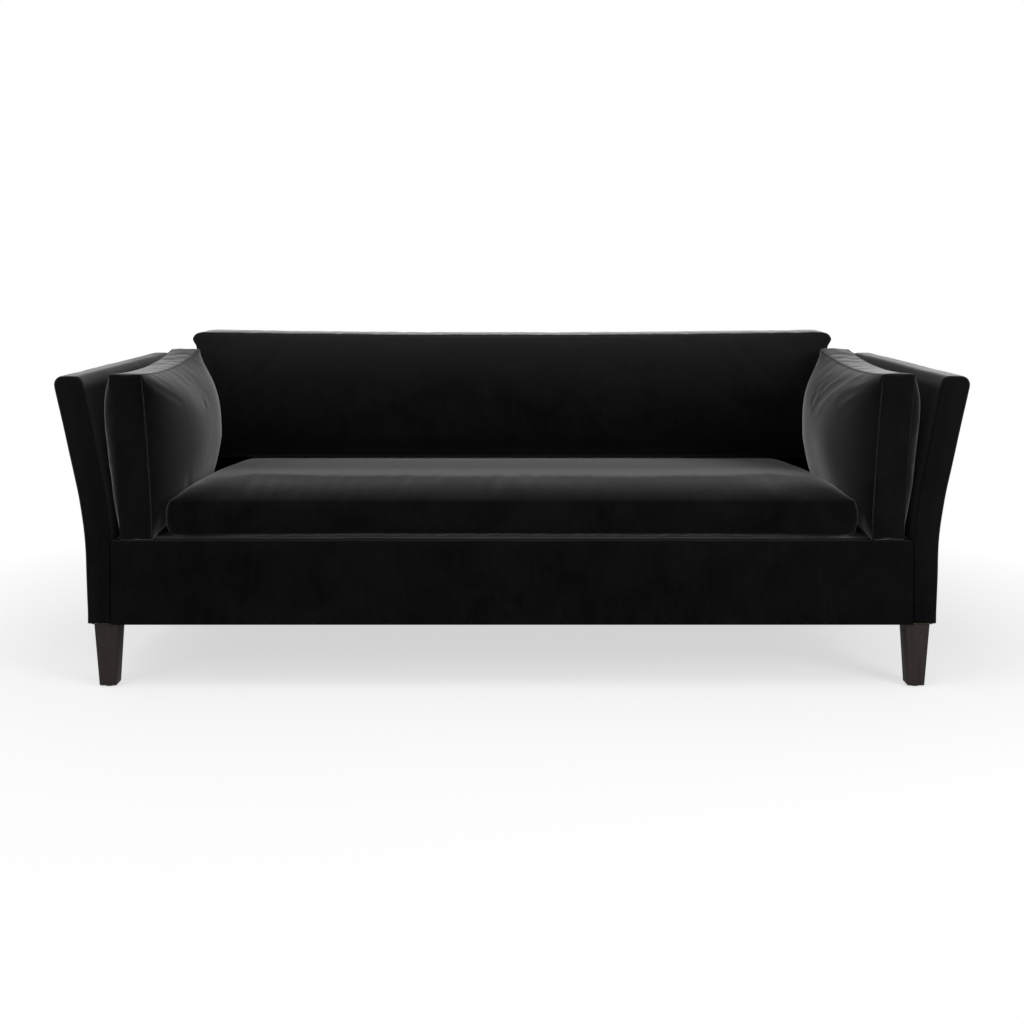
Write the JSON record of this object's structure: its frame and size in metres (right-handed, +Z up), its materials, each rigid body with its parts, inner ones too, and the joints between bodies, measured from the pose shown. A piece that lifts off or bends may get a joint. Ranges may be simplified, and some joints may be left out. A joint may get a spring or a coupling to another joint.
{
  "type": "tuxedo sofa",
  "caption": "Wide upholstered sofa with flared arms and back of one height, a loose bench seat cushion, loose arm and back cushions, and tapered wooden legs.",
  "frame": {"origin": "on the floor, under the middle of the sofa's width and depth", "axes": "+X to the sofa's left-hand end as its sitter sees it, which is to the right in a front view; -Y out of the open front; +Z up"},
  "size_m": [2.1836, 0.8899, 0.8229],
  "materials": {
    "velvet": "black cotton velvet with a soft sheen",
    "leg_wood": "dark espresso stain, satin lacquer",
    "frame_timber": "planed, unfinished",
    "steel": "bright zinc plate and bare spring wire",
    "paper_cord": "paper-covered tie wire",
    "foam": "open-cell foam and fibre",
    "lining_cloth": "plain black lining",
    "glide_nylon": "matt moulded"
  },
  "bodies": {
    "frame": {"leg_front_left": "leg_wood", "leg_front_right": "leg_wood", "leg_rear_left": "leg_wood", "leg_rear_right": "leg_wood", "leg_glides": "glide_nylon", "leg_plates": "steel", "hanger_bolts": "steel", "corner_blocks": "frame_timber", "corner_screws": "steel", "front_rail": "frame_timber", "rear_rail": "frame_timber", "side_rail_left": "frame_timber", "side_rail_right": "frame_timber", "seat_stretchers": "frame_timber", "seat_springs": "steel", "spring_clips": "steel", "tie_wires": "paper_cord", "front_edge_roll": "foam", "deck_pad": "foam", "deck_cover": "lining_cloth", "dust_cover": "lining_cloth", "front_post_left": "frame_timber", "front_post_right": "frame_timber", "rear_post_left": "frame_timber", "rear_post_right": "frame_timber", "arm_top_rail_left": "frame_timber", "arm_top_rail_right": "frame_timber", "arm_boards_left": "frame_timber", "arm_boards_right": "frame_timber", "arm_cover_left": "velvet", "arm_cover_right": "velvet", "back_uprights": "frame_timber", "back_top_rail": "frame_timber", "back_front_board": "frame_timber", "back_rear_board": "frame_timber", "back_cover": "velvet", "front_rail_cover": "velvet"},
    "seat_cushion_body": {"seat_cushion": "velvet", "seat_foam": "foam"},
    "arm_cushion_left_body": {"arm_cushion_left": "velvet", "arm_foam_left": "foam"},
    "arm_cushion_right_body": {"arm_cushion_right": "velvet", "arm_foam_right": "foam"},
    "back_cushion_body": {"back_cushion": "velvet", "back_foam": "foam"}
  },
  "joints": [
    {"name": "seat_cushion_out", "type": "slide", "parent": "frame", "child": "seat_cushion_body", "axis": [0, -1, 0], "range_m": [0, 0.8]},
    {"name": "arm_cushion_left_out", "type": "slide", "parent": "frame", "child": "arm_cushion_left_body", "axis": [0, -0.9397, 0.342], "range_m": [0, 0.8]},
    {"name": "arm_cushion_right_out", "type": "slide", "parent": "frame", "child": "arm_cushion_right_body", "axis": [0, -0.9397, 0.342], "range_m": [0, 0.8]},
    {"name": "back_cushion_out", "type": "slide", "parent": "frame", "child": "back_cushion_body", "axis": [0, 0, 1], "range_m": [0, 0.45]}
  ]
}
